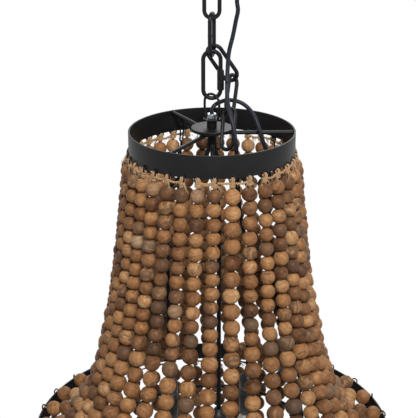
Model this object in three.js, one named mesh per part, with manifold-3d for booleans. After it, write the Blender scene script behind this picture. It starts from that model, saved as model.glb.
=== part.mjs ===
// A beaded chandelier: a black sheet band on a chain, from which 32 strings of wooden beads run down
// and out to a wide lower band, with a shallow basket of 44 strings below it that ends on a smaller ring.
// Millimetres, +Z up. The origin is the middle of the ceiling face, so everything hangs below it.
// Azimuths run from +X towards +Y, and the picture's viewer is at 270 degrees.
import * as THREE from 'three';
import { mergeVertices } from 'three/addons/utils/BufferGeometryUtils.js';
import Module from 'manifold-3d';

const wasm = await Module();
wasm.setup();

const group = new THREE.Group();
const RAD = Math.PI / 180;

// Gaps and cuts
const seat = 0.3;             // left between pieces that touch
const fit = 0.3;              // radial play of a screw, shank or lead in its hole
const overrun = 1;            // how far a cut runs past its faces

// Ceiling fitting
const canopy_d = 120;
const canopy_h = 26;
const canopy_wall = 1.6;
const canopy_bevel = 7;
const bracket_gap = 6.4;      // from each end of the bracket to the canopy's wall
const bracket_w = 18;
const bracket_t = 3;
const screw_d = 4;
const screw_head_d = 9;
const screw_head_h = 3;
const screw_inset = 10;       // from an end of the bracket to the screw in it
const shank_d = 8;
const flange_d = 14;
const flange_h = 3;
const eye_wire = 5;
const eye_r = 12;             // of the wire's centre line
const eye_neck = 2;           // from the canopy to the ring
const grip_d = 12;
const grip_collar_h = 4;
const grip_h = 22;            // with the tapered sleeve below the collar
const grip_tip_d = 7.8;
const grip_neck_d = 8;
const grip_lip = 3;           // of the neck above the canopy's floor
const grip_x = 33;
const grip_y = -10;

// Chain
const link_wire = 4.8;
const link_w = 22.4;          // outer
const link_h = 54;            // outer
const link_turn = 74;         // azimuth across the second link, nearly square to the first
const quick_wire = 5;
const quick_w = 25.4;
const quick_h = 61.8;
const quick_gap = 8;          // the mouth that the sleeve closes
const sleeve_af = 8.2;        // across flats
const sleeve_h = 23.8;
const mouth_in = 1;           // from the sleeve's lower end to the mouth

// Hub
const loop_wire = 3;
const loop_w = 24.8;          // outer
const loop_seat = 1.3;        // the loop's and the quick link's bends cross at a slant
const loop_turn = -38;        // degrees
const loop_straight = 9.5;    // below the bend
const loop_rise = 30;         // from the washer's top to the wire's centre at the top
const washer_d = 20.4;
const washer_t = 1.2;
const nut_af = 10;
const nut_h = 5.6;
const collar_d = 12;
const collar_h = 9.1;
const lower_collar_d = 11.5;
const lower_collar_h = 15.2;
const thread_d = 10;
const wire_bore = 6;
const disc_d = 50;
const disc_t = 3.8;

// Upper band and what it carries
const band_d = 200;
const band_h = 27.4;
const band_t = 2;
const spoke_d = 5;
const lug_r = 74;             // where the stays hang on the spokes
const lug_w = 6;
const lug_h = 9;
const lug_t = 2;
const lug_hole_d = 3.6;
const stay_wire = 1.8;
const stay_link_w = 5.8;      // outer
const stay_link_h = 25;       // outer
const stay_d = 2.6;

// Lower band and lamp ring
const lower_d = 458;
const lower_h = 24.3;
const lower_drop = 399;       // from the upper band's top rim to the lower band's
const ring_r = 121;
const ring_wire = 5;
const arm_d = 4;
const arm_drop = 5;           // from the lamp ring out to the band

// Strings of beads
const strings = 32;
const group_size = 4;         // strings tied to each other by one stretch of twine
const first_azimuth = 271.6;  // degrees
const string_shift = 5.6;     // degrees by which the strings at the back stand further round
const string_turn = -8;       // degrees from the top of a string to its foot
const string_gather = 3.5;    // degrees by which the feet draw towards the front
const string_slack = 33.5;    // length beyond the straight line between the ends
const knot_out = 1;           // the knots stand just outside the band's wall
const knot_h = 4;             // from the band to the string's free part
const foot_h = 3;             // from the free part down to the band under it
const twine_d = 2.4;
const twine_drop = 3;         // below the band's edge
const small_bead_d = 17.5;
const large_bead_d = 20.1;
const small_bead_count = 11;
const large_string = 1;       // the string that has large beads all the way down
const lead_in = 8;            // knot and bare thread before the first bead
const lead_out = 4;
const bead_pitch_share = 0.97;
const belly_share = 1.22;     // a faceted bead's corner radius, as a share of the round one's
const neck_share = 0.42;

// Lower basket
const basket_strings = 44;
const basket_first = 268.2;   // azimuth of the first of them, degrees
const basket_turn = -8;
const basket_slack = 18;
const basket_large_count = 6; // beads like the shade's own, before the smaller ones near the ring
const bottom_d = 270;
const bottom_h = 20;
const bottom_drop = 170;      // from the lower band's top rim to the bottom ring's

// Lamps
const lamp_start = 278;       // azimuth of the front stem, degrees
const stem_d = 5.5;
const stem_in = 4.2;          // distance from the middle at the collar
const stem_out = 60;          // and at the lamp
const stem_bend_h = 80;
const stem_h = 327;
const holder_d = 22;
const holder_h = 60;
const holder_neck_d = 11;
const holder_shoulder = 8;
const socket_depth = 24;
const cap_d = 14;
const cap_h = 21;
const glass_d = 35;
const glass_h = 84;

// A stem's S bend and a candle bulb's outline, as shares of their width and height
const stem_bend_shares = [[0, 0], [0, 0.08], [0.05, 0.2], [0.24, 0.38], [0.58, 0.57], [0.86, 0.74],
  [0.98, 0.9], [1, 1]];
const glass_shares = [[0.4, 0], [0.62, 0.06], [0.93, 0.26], [1, 0.42], [0.84, 0.66], [0.45, 0.88], [0, 1]];

const cord_d = 5;
const cord_step_share = 2.8;  // a step along the lead, as a share of its diameter
// The lead's route, from the ceiling fitting to the nut
const cord_points = [
  [33, -10, -30.6], [33, -10, -41], [33, -10, -50.5], [31.3, -10, -63], [28.6, -10, -76.3],
  [29.8, -10, -87.8], [27.6, -10, -99.3], [24.3, -11, -116.5], [19.7, -13, -136],
  [18.1, -17, -156.3], [17.5, -24, -172.3], [18, -34, -187.4], [20.2, -44, -198.9],
  [24.2, -52, -212.1], [26.5, -56, -225.2], [28.3, -57, -240.5], [29.7, -54, -265.8],
  [30.6, -49, -292.3], [33, -44, -318], [37, -38, -344], [43, -31, -365],
  [51, -24, -376.5], [59.5, -17, -377], [65.5, -12.5, -367], [68.5, -10.5, -351],
  [69.5, -10, -329], [69, -9.5, -300.1], [67, -9.5, -266], [60.5, -9, -244],
  [55.5, -6, -229], [52, -1.5, -220], [47.7, 3.5, -213], [41.8, 8.5, -207.2],
  [34.7, 11.6, -203], [27, 12, -200.5], [17, 9.8, -199.4], [9.6, 6.3, -200.8],
  [4.6, 3.1, -202.6], [1.3, 0.9, -205.6], [0, 0, -210], [0, 0, -216.4],
];

// Numbers of facets
const round_sides = 24;
const band_sides = 48;
const wire_sides = 8;
const thin_sides = 6;
const stay_sides = 4;
const ring_steps = 36;
const bead_sides = 3;
const bend_steps = 6;

// The bracket's length inside the canopy, and the screws' distance from its middle
const bracket_l = canopy_d - 2 * canopy_wall - 2 * bracket_gap;
const screw_r = bracket_l / 2 - screw_inset;

// Levels, from the ceiling down
const eye_z = -canopy_h - eye_neck - eye_wire / 2 - eye_r;       // the ring's middle
const eye_low = eye_z - eye_r;                                   // its lowest wire, centre
const link_pitch = link_h - link_wire;                           // wire centre to wire centre
const quick_pitch = quick_h - quick_wire;
const link_1_top = eye_low + (eye_wire + link_wire) / 2 + seat;
const link_1_low = link_1_top - link_pitch;
const link_2_top = link_1_low + link_wire + seat;
const link_2_low = link_2_top - link_pitch;
const quick_top = link_2_low + (link_wire + quick_wire) / 2 + seat;
const quick_low = quick_top - quick_pitch;
const loop_top = quick_low + (quick_wire + loop_wire) / 2 + loop_seat;
const washer_low = loop_top - loop_rise - washer_t;
const rim_z = washer_low - seat - collar_h - seat - disc_t;      // the upper band's top and the disc's foot
const lower_z = rim_z - lower_drop;
const bottom_z = lower_z - bottom_drop;
const ring_z = lower_z - lower_h / 2 + (ring_wire - arm_d) / 2;
const spoke_z = rim_z - seat - spoke_d / 2;

const black = { color: 0x1d1d1f, roughness: 0.45, metalness: 0.7 };
const zinc = { color: 0x8f98a3, roughness: 0.3, metalness: 0.9 };
const lead_black = { color: 0x15171c, roughness: 0.6, metalness: 0 };
const plastic = { color: 0x111113, roughness: 0.4, metalness: 0 };
const glass = { color: 0xf2ead8, roughness: 0.1, metalness: 0 };
const wood = { color: 0xa57850, roughness: 0.6, metalness: 0 };

// The three surplus links: the way from the wire that each hangs on to its own top wire, the way it
// hangs and the way across it, all as shares of a link's pitch
const spare_link_shares = [
  { from: [-0.0301, 0.0752, 0.1953], down: [0.554, 0.0689, -0.8297], across: [0.8108, -0.2707, 0.5189] },
  { from: [0.0049, 0.0795, 0.0832], down: [-0.1226, -0.6442, -0.755], across: [0.5044, 0.6147, -0.6064] },
  { from: [0.0116, 0.0651, 0.0928], down: [-0.0651, -0.5222, -0.8503], across: [0.7666, -0.5717, 0.2924] },
];

// Geometry

// A geometry's own shared vertices, without the triangles that have no area.
function clean(geometry) {
  const g = geometry.clone();
  g.deleteAttribute('normal');
  g.deleteAttribute('uv');
  const merged = mergeVertices(g, 1e-4);
  const index = merged.index.array;
  const kept = [];
  for (let i = 0; i < index.length; i += 3) {
    const [a, b, c] = [index[i], index[i + 1], index[i + 2]];
    if (a !== b && b !== c && c !== a) kept.push(a, b, c);
  }
  merged.setIndex(kept);
  if (volumeOf(merged) < 0) merged.setIndex(kept.reverse());
  return merged;
}

function volumeOf(g) {
  const [a, b, c] = [new THREE.Vector3(), new THREE.Vector3(), new THREE.Vector3()];
  let six = 0;
  for (let i = 0; i < g.index.count; i += 3) {
    [a, b, c].forEach((v, k) => v.fromBufferAttribute(g.attributes.position, g.index.getX(i + k)));
    six += a.dot(b.cross(c));
  }
  return six / 6;
}

function solid(geometry) {
  const g = clean(geometry);
  return new wasm.Manifold(new wasm.Mesh({
    numProp: 3,
    vertProperties: new Float32Array(g.attributes.position.array),
    triVerts: new Uint32Array(g.index.array),
  }));
}

function geometryOf(manifold) {
  const m = manifold.getMesh();
  return new THREE.BufferGeometry()
    .setAttribute('position', new THREE.BufferAttribute(new Float32Array(m.vertProperties), 3))
    .setIndex(new THREE.BufferAttribute(new Uint32Array(m.triVerts), 1));
}

const join = (...geometries) => geometryOf(geometries.map(solid).reduce((a, b) => a.add(b)));
const cut = (body, ...tools) => geometryOf(tools.map(solid).reduce((a, b) => a.subtract(b), solid(body)));

function piece(name, geometry, look, parent = group) {
  const ready = clean(geometry);
  ready.computeVertexNormals();
  const mesh = new THREE.Mesh(ready, new THREE.MeshStandardMaterial(look));
  mesh.name = name;
  parent.add(mesh);
  return mesh;
}

const at = (geometry, x, y, z) => geometry.translate(x, y, z);
const polar = (r, azimuth, z = 0) => new THREE.Vector3(
  r * Math.cos(azimuth * RAD), r * Math.sin(azimuth * RAD), z);

// A solid of revolution about Z from [radius, z] corners, closed where it doesn't meet the axis.
function turned(profile, sides = round_sides) {
  const closes = profile[0][0] > 0 || profile[profile.length - 1][0] > 0;
  const corners = (closes ? [...profile, profile[0]] : profile).map(([r, z]) => new THREE.Vector2(r, z));
  return new THREE.LatheGeometry(corners, sides).rotateX(Math.PI / 2);
}

const ringBand = (d, wall, top, h, sides) => turned(
  [[d / 2 - wall, top - h], [d / 2, top - h], [d / 2, top], [d / 2 - wall, top]], sides);

function bar(from, to, d, sides = thin_sides) {
  const along = to.clone().sub(from);
  const g = new THREE.CylinderGeometry(d / 2, d / 2, along.length(), sides);
  g.applyQuaternion(new THREE.Quaternion().setFromUnitVectors(
    new THREE.Vector3(0, 1, 0), along.clone().normalize()));
  const middle = from.clone().add(to).multiplyScalar(0.5);
  return at(g, middle.x, middle.y, middle.z);
}

// A round section carried along points, with a radius at each. `across` is square to the path.
function swept(points, radii, sides, { closed = false, across = null, phase = 0 } = {}) {
  const n = points.length;
  const tangents = points.map((p, i) => {
    const before = closed ? points[(i + n - 1) % n] : points[Math.max(0, i - 1)];
    const after = closed ? points[(i + 1) % n] : points[Math.min(n - 1, i + 1)];
    return after.clone().sub(before).normalize();
  });
  let side = across ? across.clone() : Math.abs(tangents[0].z) > 0.9
    ? new THREE.Vector3(1, 0, 0) : new THREE.Vector3(0, 0, 1);
  const positions = [];
  points.forEach((p, i) => {
    const t = tangents[i];
    side.addScaledVector(t, -side.dot(t)).normalize();
    const other = new THREE.Vector3().crossVectors(t, side);
    const r = Array.isArray(radii) ? radii[i] : radii;
    for (let k = 0; k < sides; k++) {
      const a = phase + 2 * Math.PI * k / sides;
      const q = p.clone().addScaledVector(side, r * Math.cos(a)).addScaledVector(other, r * Math.sin(a));
      positions.push(q.x, q.y, q.z);
    }
  });
  const index = [];
  const rows = closed ? n : n - 1;
  for (let i = 0; i < rows; i++) {
    for (let k = 0; k < sides; k++) {
      const a = i * sides + k, b = i * sides + (k + 1) % sides;
      const c = (i + 1) % n * sides + k, d = (i + 1) % n * sides + (k + 1) % sides;
      index.push(a, b, d, a, d, c);
    }
  }
  if (!closed) {
    const end = (n - 1) * sides;
    for (let k = 1; k + 1 < sides; k++) {
      index.push(0, k + 1, k);
      index.push(end, end + k, end + k + 1);
    }
  }
  return new THREE.BufferGeometry()
    .setAttribute('position', new THREE.BufferAttribute(new Float32Array(positions), 3))
    .setIndex(index);
}

// The centre line of a long link, in the plane of its own `e` (across) and `d` (along) directions,
// from one end's middle round to the same place.
function oval(half_w, half_h, steps = bend_steps) {
  const straight = half_h - half_w;
  const line = [];
  for (const end of [-1, 1]) {
    for (let k = 0; k <= steps; k++) {
      const a = Math.PI * k / steps;
      line.push([-end * half_w * Math.cos(a), end * (straight + half_w * Math.sin(a))]);
    }
  }
  return line;
}

function linkAt(top, d, e, wire, w, h, sides = wire_sides) {
  const along = new THREE.Vector3(...d).normalize();
  const across = new THREE.Vector3(...e);
  across.addScaledVector(along, -across.dot(along)).normalize();
  const half_h = (h - wire) / 2;
  const middle = new THREE.Vector3(...top).addScaledVector(along, half_h);
  const points = oval((w - wire) / 2, half_h).map(([l, s]) =>
    middle.clone().addScaledVector(across, l).addScaledVector(along, s));
  return swept(points, wire / 2, sides,
    { closed: true, across: new THREE.Vector3().crossVectors(along, across), phase: Math.PI / sides });
}

const X = [1, 0, 0];
const Y = [0, 1, 0];
const DOWN = [0, 0, -1];

// Ceiling fitting: a flat bar screwed to the ceiling, and the cup that covers it

const inner_r = canopy_d / 2 - canopy_wall;
const canopy = turned([
  [shank_d / 2 + fit, -canopy_h], [canopy_d / 2 - canopy_bevel, -canopy_h],
  [canopy_d / 2, -canopy_h + canopy_bevel], [canopy_d / 2, 0], [inner_r, 0],
  [inner_r, -canopy_h + canopy_bevel], [inner_r - canopy_bevel + canopy_wall, -canopy_h + canopy_wall],
  [shank_d / 2 + fit, -canopy_h + canopy_wall],
]);
const hole = (x, y, d) => at(new THREE.CylinderGeometry(
  d / 2 + fit, d / 2 + fit, canopy_wall + 2 * overrun, round_sides / 2).rotateX(Math.PI / 2),
  x, y, -canopy_h + canopy_wall / 2);
piece('ceiling_canopy', cut(canopy, hole(grip_x, grip_y, grip_neck_d),
  hole(0, screw_r, screw_d), hole(0, -screw_r, screw_d)), black);
piece('ceiling_bracket',
  at(new THREE.BoxGeometry(bracket_w, bracket_l, bracket_t), 0, 0, -bracket_t / 2), zinc);

for (const [i, y] of [screw_r, -screw_r].entries()) {
  const under = -canopy_h - seat;
  piece('canopy_screw_' + (i + 1), at(turned([
    [0, under - screw_head_h], [screw_head_d / 2, under - screw_head_h], [screw_head_d / 2, under],
    [screw_d / 2, under], [screw_d / 2, -bracket_t - seat], [0, -bracket_t - seat],
  ], round_sides / 2), 0, y, 0), black);
}

const floor = -canopy_h + canopy_wall;
const eyeRing = [...Array(round_sides / 2).keys()].map((k) => {
  const a = 2 * Math.PI * k / (round_sides / 2) + Math.PI / 2;
  return new THREE.Vector3(0, eye_r * Math.cos(a), eye_z + eye_r * Math.sin(a));
});
piece('canopy_eye', join(
  swept(eyeRing, eye_wire / 2, wire_sides, { closed: true, across: new THREE.Vector3(...X) }),
  turned([
    [0, eye_z + eye_r], [shank_d / 2, eye_z + eye_r], [shank_d / 2, floor + seat],
    [flange_d / 2, floor + seat], [flange_d / 2, floor + seat + flange_h],
    [shank_d / 2, floor + seat + flange_h], [shank_d / 2, -bracket_t - seat], [0, -bracket_t - seat],
  ], round_sides / 2)), black);

const grip_top = -canopy_h - seat;
piece('canopy_cord_grip', at(turned([
  [cord_d / 2 + fit, grip_top - grip_h], [grip_tip_d / 2, grip_top - grip_h],
  [grip_d / 2, grip_top - grip_collar_h], [grip_d / 2, grip_top],
  [grip_neck_d / 2, grip_top], [grip_neck_d / 2, floor + grip_lip], [cord_d / 2 + fit, floor + grip_lip],
], round_sides / 2), grip_x, grip_y, 0), plastic);

// Chain, each link nearly a quarter turn from the last

piece('chain_link_1', linkAt([0, 0, link_1_top], DOWN, X, link_wire, link_w, link_h), black);
const second_across = polar(1, link_turn).toArray();
piece('chain_link_2', linkAt([0, 0, link_2_top], DOWN, second_across, link_wire, link_w, link_h), black);

// The quick link's wire is open for a short way on its right leg, where the sleeve screws over it.
const leg_x = (quick_w - quick_wire) / 2;
const sleeve_low = quick_low + leg_x;
const mouth_low = sleeve_low + mouth_in;
{
  const half_h = quick_pitch / 2;
  const middle = quick_low + half_h;
  const corners = oval(leg_x, half_h).map(([x, z]) => new THREE.Vector3(x, 0, middle + z));
  const line = [
    new THREE.Vector3(leg_x, 0, mouth_low), ...corners, new THREE.Vector3(leg_x, 0, mouth_low + quick_gap),
  ];
  piece('quick_link_body', swept(line, quick_wire / 2, wire_sides,
    { across: new THREE.Vector3(...Y), phase: Math.PI / wire_sides }), black);
  const bore_r = quick_wire / 2 + fit;
  const hex = new THREE.Shape();
  for (let k = 0; k < thin_sides; k++) {
    const a = (60 * k + 30) * RAD, r = sleeve_af / 2 / Math.cos(30 * RAD);
    k ? hex.lineTo(r * Math.cos(a), r * Math.sin(a)) : hex.moveTo(r * Math.cos(a), r * Math.sin(a));
  }
  hex.closePath();
  const sleeve = cut(new THREE.ExtrudeGeometry(hex, { depth: sleeve_h, bevelEnabled: false }),
    at(new THREE.CylinderGeometry(bore_r, bore_r, sleeve_h + 2 * overrun, round_sides / 2)
      .rotateX(Math.PI / 2), 0, 0, sleeve_h / 2));
  piece('quick_link_sleeve', at(sleeve, leg_x, 0, sleeve_low), black);
}

// The surplus end of the chain hangs from link 2's lower bend beside the quick link: its first link
// leans over behind the sleeve, the next leans to the viewer and the last hangs before the disc.
{
  const wire = new THREE.Vector3(0, 0, link_2_low);
  for (const [i, { from, down, across }] of spare_link_shares.entries()) {
    wire.addScaledVector(new THREE.Vector3(...from), link_pitch);
    piece('spare_link_' + (i + 1), linkAt(wire.toArray(), down, across, link_wire, link_w, link_h), black);
    wire.addScaledVector(new THREE.Vector3(...down).normalize(), link_pitch);
  }
}

// Hub: a wire loop on a washer, the nut that the lead enters, the collar and the disc

const washer_top = washer_low + washer_t;
{
  const half = (loop_w - loop_wire) / 2;
  const foot = (washer_d - loop_wire) / 2 - seat;
  const bend_z = loop_top - half;
  const across = polar(1, loop_turn);
  const corners = [[-foot, washer_top - washer_t / 2], [-half, bend_z - loop_straight]];
  for (let k = 0; k <= bend_steps; k++) {
    const a = Math.PI * k / bend_steps;
    corners.push([-half * Math.cos(a), bend_z + half * Math.sin(a)]);
  }
  corners.push([half, bend_z - loop_straight], [foot, washer_top - washer_t / 2]);
  piece('hanging_loop', join(
    swept(corners.map(([l, z]) => new THREE.Vector3(across.x * l, across.y * l, z)),
      loop_wire / 2, thin_sides, { across: polar(1, loop_turn + 90) }),
    turned([[wire_bore / 2, washer_low], [washer_d / 2, washer_low], [washer_d / 2, washer_top],
      [wire_bore / 2, washer_top]])), black);
}
const nut_low = washer_top + seat;
piece('cord_nut', cut(
  at(new THREE.CylinderGeometry(nut_af / 2 / Math.cos(30 * RAD), nut_af / 2 / Math.cos(30 * RAD), nut_h,
    thin_sides).rotateX(Math.PI / 2), 0, 0, nut_low + nut_h / 2),
  at(new THREE.CylinderGeometry(cord_d / 2 + fit, cord_d / 2 + fit, nut_h + 2 * overrun, round_sides / 2)
    .rotateX(Math.PI / 2), 0, 0, nut_low + nut_h / 2)), zinc);

const disc_top = rim_z + disc_t;
const stem_low = rim_z - seat - lower_collar_h;
piece('hub_stem', turned([
  [wire_bore / 2, stem_low], [lower_collar_d / 2, stem_low], [lower_collar_d / 2, rim_z - seat],
  [thread_d / 2, rim_z - seat], [thread_d / 2, disc_top + seat], [collar_d / 2, disc_top + seat],
  [collar_d / 2, washer_low - seat], [wire_bore / 2, washer_low - seat],
], round_sides / 2), black);
piece('hub_disc', ringBand(disc_d, (disc_d - thread_d) / 2 - fit, disc_top, disc_t, round_sides), black);

// Upper band on three spokes, and the stays that hang from the spokes' lugs

piece('upper_band', ringBand(band_d, band_t, rim_z, band_h, band_sides), black);

const band_inner = band_d / 2 - band_t;
const lug_low = spoke_z - spoke_d / 2 - lug_h;
const lug_hole_z = lug_low + lug_hole_d;
const thirds = [0, 120, 240];
for (const [i, azimuth] of thirds.entries()) {
  const lug_top = spoke_z;
  const lug = at(new THREE.BoxGeometry(lug_w, lug_t, lug_top - lug_low), lug_r, 0, (lug_top + lug_low) / 2);
  const eye = at(new THREE.CylinderGeometry(lug_hole_d / 2, lug_hole_d / 2, lug_t + 2 * overrun,
    round_sides / 2), lug_r, 0, lug_hole_z);
  const straight = bar(new THREE.Vector3(lower_collar_d / 2 + seat, 0, spoke_z),
    new THREE.Vector3(band_inner - seat, 0, spoke_z), spoke_d);
  piece('upper_spoke_' + (i + 1), join(straight, cut(lug, eye)).rotateZ(azimuth * RAD), black);

  const top = new THREE.Vector3(lug_r, 0, lug_hole_z - lug_hole_d / 2 + stay_wire / 2 + seat);
  const foot = new THREE.Vector3(ring_r, 0, ring_z);
  const down = foot.clone().sub(top).normalize();
  const rod = bar(top.clone().addScaledVector(down, stay_link_h - stay_wire),
    foot.clone().addScaledVector(down, -ring_wire / 2 - seat), stay_d);
  piece('stay_' + (i + 1), join(
    linkAt(top.toArray(), down.toArray(), Y, stay_wire, stay_link_w, stay_link_h, stay_sides), rod)
    .rotateZ(azimuth * RAD), black);
}

// Lower band, the lamp ring inside it on three arms, and the ring that closes the basket

piece('lower_band', ringBand(lower_d, band_t, lower_z, lower_h, band_sides), black);
const ringLine = [...Array(ring_steps).keys()].map((k) => polar(ring_r, 360 * k / ring_steps, ring_z));
piece('lamp_ring', swept(ringLine, ring_wire / 2, thin_sides,
  { closed: true, across: new THREE.Vector3(0, 0, 1) }), black);
for (const [i, azimuth] of thirds.entries()) {
  const turn = azimuth + 60;
  piece('ring_arm_' + (i + 1), bar(polar(ring_r + ring_wire / 2 + seat, turn, ring_z),
    polar(lower_d / 2 - band_t - seat, turn, ring_z - arm_drop), arm_d), black);
}
piece('bottom_ring', ringBand(bottom_d, band_t, bottom_z, bottom_h, band_sides), black);

// Strings of beads. A string hangs in a catenary between its ends; each bead is a ring at its neck and
// one at its belly.

const thread_r = twine_d / 2;

function catenary(a, b, slack) {
  const run = Math.hypot(b.x - a.x, b.y - a.y), drop = a.z - b.z;
  const length = Math.hypot(run, drop) + slack;
  const wanted = Math.sqrt(length * length - drop * drop) / run;
  let [low, high] = [0, 1];
  while (Math.sinh(high) / high < wanted) high += high;
  for (let k = 0; k < 60; k++) {
    const q = (low + high) / 2;
    if (Math.sinh(q) / q < wanted) low = q; else high = q;
  }
  const scale = run / (low + high);
  const lowest = run / 2 + scale * Math.atanh(drop / length);
  const point = (s) => {
    const x = lowest + scale * Math.asinh(s / scale - Math.sinh(lowest / scale));
    const z = scale * (Math.cosh((x - lowest) / scale) - Math.cosh(lowest / scale));
    return new THREE.Vector3(a.x + (b.x - a.x) * x / run, a.y + (b.y - a.y) * x / run, a.z + z);
  };
  return { length, point };
}

// Bead diameters along a string that fill it: `first` of the one size, the rest of the other.
function beadsFor(room, first, first_d, rest_d) {
  const rest = Math.max(1, Math.round((room / bead_pitch_share - first * first_d) / rest_d));
  return [...Array(first).fill(first_d), ...Array(rest).fill(rest_d)];
}

function string(knot, a, b, foot, slack, first, first_d, rest_d) {
  const { length, point } = catenary(a, b, slack);
  const room = length - lead_in - lead_out;
  const beads = beadsFor(room, first, first_d, rest_d);
  const stretch = room / beads.reduce((sum, d) => sum + d, 0);
  const points = [knot, a], radii = [thread_r, thread_r];
  let s = lead_in;
  for (const d of beads) {
    points.push(point(s), point(s + d * stretch / 2));
    radii.push(neck_share * d / 2, belly_share * d / 2);
    s += d * stretch;
  }
  points.push(point(s), b, foot);
  radii.push(thread_r, thread_r, thread_r);
  // A flat of each bead faces out of the shade.
  const across = new THREE.Vector3(a.y - b.y, b.x - a.x, 0).normalize();
  const phase = Math.PI / 6 * (b.lengthSq() - b.z * b.z > a.lengthSq() - a.z * a.z ? 1 : -1);
  return swept(points, radii, bead_sides, { across, phase });
}

const around = (k) => 360 * k / strings;
const azimuthOf = (k) => first_azimuth + around(k) + string_shift * Math.sin(around(k) / 2 * RAD);
const footOf = (k) => azimuthOf(k) + string_turn - string_gather * Math.sin(around(k) * RAD);
const basketOf = (k) => basket_first + 360 * k / basket_strings;
const wall_r = (band_d - band_t) / 2;
const lower_wall_r = (lower_d - band_t) / 2;
const bottom_wall_r = (bottom_d - band_t) / 2;
const band_low = rim_z - band_h;
const lower_low = lower_z - lower_h;

function twine(r, z, place, from) {
  const stations = [];
  for (let k = 0; k < group_size; k++) {
    stations.push(polar(r, place(from + k), z));
  }
  return swept(stations, thread_r, bead_sides, { across: new THREE.Vector3(0, 0, 1) });
}

for (let g = 0; g < strings / group_size; g++) {
  const hung = [];
  for (let k = g * group_size; k < (g + 1) * group_size; k++) {
    const top = azimuthOf(k), foot = footOf(k);
    hung.push(string(
      polar(wall_r, top, band_low - seat), polar(wall_r + knot_out, top, band_low - knot_h),
      polar(lower_wall_r, foot, lower_z + foot_h), polar(lower_wall_r, foot, lower_z + seat),
      string_slack, k === large_string ? 0 : small_bead_count, small_bead_d, large_bead_d));
  }
  piece('upper_strands_' + (g + 1), join(...hung,
    twine(wall_r + knot_out, band_low - twine_drop, azimuthOf, g * group_size)), wood);
}

for (let g = 0; g < basket_strings / group_size; g++) {
  const hung = [];
  for (let k = g * group_size; k < (g + 1) * group_size; k++) {
    const top = basketOf(k), foot = top + basket_turn;
    hung.push(string(
      polar(lower_wall_r, top, lower_low - seat), polar(lower_wall_r, top, lower_low - knot_h),
      polar(bottom_wall_r, foot, bottom_z + foot_h), polar(bottom_wall_r, foot, bottom_z + seat),
      basket_slack, basket_large_count, large_bead_d, small_bead_d));
  }
  piece('lower_strands_' + (g + 1), join(...hung,
    twine(lower_wall_r, lower_low - twine_drop, basketOf, g * group_size)), wood);
}

// Lamps: a bent tube from the lower collar to each holder, and a candle bulb screwed up into it

for (const [i, third] of thirds.entries()) {
  const azimuth = lamp_start - third;
  const start = stem_low - seat;
  const line = [...stem_bend_shares.map(([r, z]) => [
    stem_in + (stem_out - stem_in) * r, start - stem_bend_h * z]), [stem_out, start - stem_h]];
  piece('lamp_stem_' + (i + 1), swept(line.map(([r, z]) => polar(r, azimuth, z)), stem_d / 2, thin_sides,
    { across: polar(1, azimuth + 90) }), black);

  const top = start - stem_h - seat, low = top - holder_h, bore = cap_d / 2 + fit;
  const middle = polar(stem_out, azimuth);
  piece('lamp_holder_' + (i + 1), at(turned([
    [0, top], [holder_neck_d / 2, top], [holder_d / 2, top - holder_shoulder], [holder_d / 2, low],
    [bore, low], [bore, low + socket_depth], [0, low + socket_depth],
  ], round_sides / 2), middle.x, middle.y, 0), plastic);
  piece('lamp_bulb_' + (i + 1), at(turned([
    [0, low + cap_h], [cap_d / 2, low + cap_h],
    ...glass_shares.map(([r, z]) => [glass_d / 2 * r, low - seat - glass_h * z]),
  ], round_sides / 2), middle.x, middle.y, 0), glass);
}

// The lead: down beside the chain, once round inside the shade, and back into the nut
{
  const points = cord_points.map((p) => new THREE.Vector3(...p));
  const last = points.pop();
  const line = new THREE.CatmullRomCurve3(points, false, 'centripetal');
  const steps = Math.round(line.getLength() / (cord_step_share * cord_d));
  piece('power_cord', swept([...line.getSpacedPoints(steps), last], cord_d / 2, wire_sides), lead_black);
}

export default group;
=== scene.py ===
"""A beaded chandelier: a black sheet band on a chain, 32 strings of turned wooden beads that flare to a
wide lower band, a basket of 44 strings under it and three candle lamps inside.
Metres, +Z up, ceiling at z = 0."""
import math
import random

import bpy
import numpy as np
from mathutils import Matrix, Vector


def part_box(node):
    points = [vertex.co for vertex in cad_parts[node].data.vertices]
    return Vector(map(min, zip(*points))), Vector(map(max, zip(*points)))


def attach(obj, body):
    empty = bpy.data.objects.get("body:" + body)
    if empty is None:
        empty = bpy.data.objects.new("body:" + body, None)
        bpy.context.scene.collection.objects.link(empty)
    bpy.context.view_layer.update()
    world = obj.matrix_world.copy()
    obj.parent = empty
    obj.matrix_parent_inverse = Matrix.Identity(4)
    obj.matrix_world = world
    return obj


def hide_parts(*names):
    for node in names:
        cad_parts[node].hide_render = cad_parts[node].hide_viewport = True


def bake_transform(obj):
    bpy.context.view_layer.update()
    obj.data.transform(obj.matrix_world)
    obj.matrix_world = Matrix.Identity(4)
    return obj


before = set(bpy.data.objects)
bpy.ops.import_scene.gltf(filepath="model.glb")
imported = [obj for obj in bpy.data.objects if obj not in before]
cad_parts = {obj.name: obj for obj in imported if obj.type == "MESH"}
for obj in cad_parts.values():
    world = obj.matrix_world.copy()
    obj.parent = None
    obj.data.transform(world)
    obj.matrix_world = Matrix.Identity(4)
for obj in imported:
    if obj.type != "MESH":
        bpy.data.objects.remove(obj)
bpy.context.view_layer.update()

MM = 0.001
RIM_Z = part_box("upper_band")[1].z
BAND_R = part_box("upper_band")[1].x
BAND_WALL = 2 * MM
rng = random.Random(41)


# Camera, in line with the picture: 1.4 m before the shade's middle, looking down at 20.6 degrees.

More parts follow.
